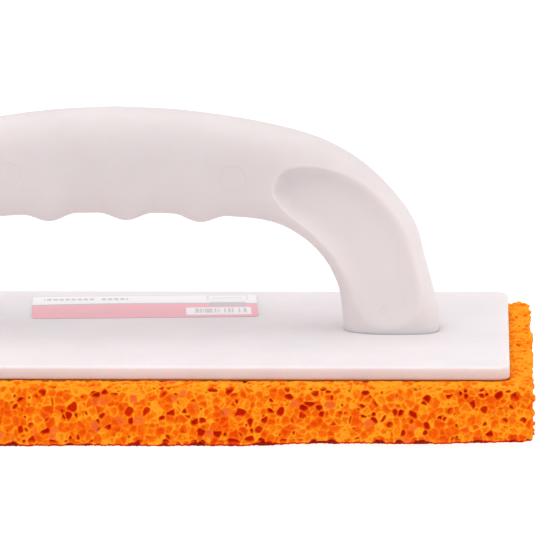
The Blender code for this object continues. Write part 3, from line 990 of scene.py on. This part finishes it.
def make_label(material):
    """A thin film with rounded corners and edge, its origin at its own middle."""
    outline = []
    for turn, (side_x, side_y) in enumerate(((1, 1), (-1, 1), (-1, -1), (1, -1))):
        for step in range(LABEL_CORNER_STEPS + 1):
            angle = math.pi / 2 * (turn + step / LABEL_CORNER_STEPS)
            outline.append((
                side_x * (LABEL_LENGTH / 2 - LABEL_CORNER) + LABEL_CORNER * math.cos(angle),
                side_y * (LABEL_WIDTH / 2 - LABEL_CORNER) + LABEL_CORNER * math.sin(angle),
            ))
    outline = np.array(outline)
    around = len(outline)
    levels = len(LABEL_EDGE)
    loops = []
    for inset, height in LABEL_EDGE:
        shrink = 1.0 - 2.0 * inset / np.array([LABEL_LENGTH, LABEL_WIDTH])
        level = np.full(around, height * LABEL_THICKNESS)
        loops.append(np.column_stack([outline * shrink, level]))
    points = np.vstack(loops)
    faces = [list(range(around))[::-1]]
    for level in range(levels - 1):
        for step in range(around):
            here, beside = level * around + step, level * around + (step + 1) % around
            faces.append([here, beside, beside + around, here + around])
    faces.append(list(range((levels - 1) * around, levels * around)))
    label = new_object("printed_label", points, faces, material, smooth=False)
    label.location = Vector((*LABEL_CENTRE, PLATE_TOP + LABEL_CLEARANCE)) * MM
    label.rotation_euler = (0.0, 0.0, LABEL_TURN)
    on_film = label.data.attributes.new("print_place", "FLOAT_VECTOR", "POINT")
    on_film.data.foreach_set("vector", (points * MM).ravel())
    places = []
    for face in faces:
        low = LABEL_UNDERSIDE_AT if face is faces[0] else LABEL_FACE_AT
        flat = points[face, :2] / (LABEL_LENGTH, LABEL_WIDTH) + 0.5
        places.append(flat * LABEL_BAKE_SPAN + (BAKE_BORDER, low))
    lay_out(label, np.vstack(places))
    return label


# ---------------------------------------------------------------- stage


FLOOR_HALF = 6000.0
FLOOR_BELOW_SOLE = 0.1
FLOOR_GLOW = 0.92
LIGHTS = (  # name, place, size and brightness
    ("overhead", (-0.5, -0.3, 2.0), 3.6, 1.22),
    ("right_fill", (2.2, -0.4, 1.1), 1.6, 1.3),
)
LIT_POINT = Vector((0, 0, 0.04))
SKY_BRIGHTNESS = 0.66


def make_floor():
    material, tree, shader = new_material("studio_floor")
    shader.inputs["Base Color"].default_value = (0.20, 0.20, 0.20, 1.0)
    shader.inputs["Roughness"].default_value = 0.9
    shader.inputs["Emission Color"].default_value = (1.0, 1.0, 1.0, 1.0)
    shader.inputs["Emission Strength"].default_value = FLOOR_GLOW
    level = -SOLE_SAG - FLOOR_BELOW_SOLE
    signs = ((-1, -1), (1, -1), (1, 1), (-1, 1))
    corners = [(x * FLOOR_HALF, y * FLOOR_HALF, level) for x, y in signs]
    floor = new_object("floor", corners, [[0, 1, 2, 3]], material, smooth=False)


def make_light(name, place, size, brightness):
    data = bpy.data.lights.new(name, "AREA")
    data.shape = "SQUARE"
    data.size = size
    data.energy = brightness * math.pi * size * size
    light = bpy.data.objects.new(name, data)
    light.location = place
    light.rotation_mode = "QUATERNION"
    light.rotation_quaternion = (LIT_POINT - light.location).to_track_quat("-Z", "Y")
    bpy.context.scene.collection.objects.link(light)


def make_stage():
    make_floor()
    for name, place, size, brightness in LIGHTS:
        make_light(name, place, size, brightness)
    world = bpy.data.worlds.new("studio")
    bpy.context.scene.world = world
    world.use_nodes = True
    sky = world.node_tree.nodes["Background"]
    sky.inputs["Color"].default_value = (1.0, 1.0, 1.0, 1.0)
    sky.inputs["Strength"].default_value = SKY_BRIGHTNESS
    settings = bpy.context.scene.view_settings
    settings.view_transform = "Standard"
    settings.look = "None"


CAMERA_TARGET = Vector((0.05343, 0.0, 0.0431))
CAMERA_DISTANCE = 2.2
CAMERA_AZIMUTH = math.radians(1.746)
CAMERA_ELEVATION = math.radians(11.2)
CAMERA_ROLL = math.radians(-0.253)
CAMERA_LENS = 426.8
CAMERA_CLIPS = (0.1, 50.0)


def make_camera():
    level = math.cos(CAMERA_ELEVATION)
    back = Vector((
        math.sin(CAMERA_AZIMUTH) * level,
        -math.cos(CAMERA_AZIMUTH) * level,
        math.sin(CAMERA_ELEVATION),
    ))
    data = bpy.data.cameras.new("camera")
    data.lens = CAMERA_LENS
    data.clip_start, data.clip_end = CAMERA_CLIPS
    camera = bpy.data.objects.new("camera", data)
    camera.location = CAMERA_TARGET + back * CAMERA_DISTANCE
    camera.rotation_mode = "QUATERNION"
    roll = Quaternion((0.0, 0.0, 1.0), CAMERA_ROLL)
    camera.rotation_quaternion = (-back).to_track_quat("-Z", "Y") @ roll
    bpy.context.scene.collection.objects.link(camera)
    bpy.context.scene.camera = camera


# ---------------------------------------------------------------- assembly


def stand_for(piece, node):
    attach(piece, "root")
    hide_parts(node)


def recolour(nodes, material):
    for node in nodes:
        node.data.materials.clear()
        node.data.materials.append(material)


grip = make_grip(make_plastic("warm_white_grip", GRIP_COLOUR, GRIP_MARKS, PAINTED_LIGHT_COLOUR))
stand_for(grip, "handle")

label = make_label(make_label_print())
stand_for(label, "label")

pad = make_pad(make_foam())
stand_for(pad, "sponge_pad")

screws = [node for name, node in nodes.items() if name.startswith("screw_")]
recolour([nodes["base_plate"]], make_plastic("warm_white_plate", PLATE_COLOUR))
recolour([nodes["adhesive_film"]], make_adhesive())
recolour(screws, make_steel())

make_stage()
make_camera()
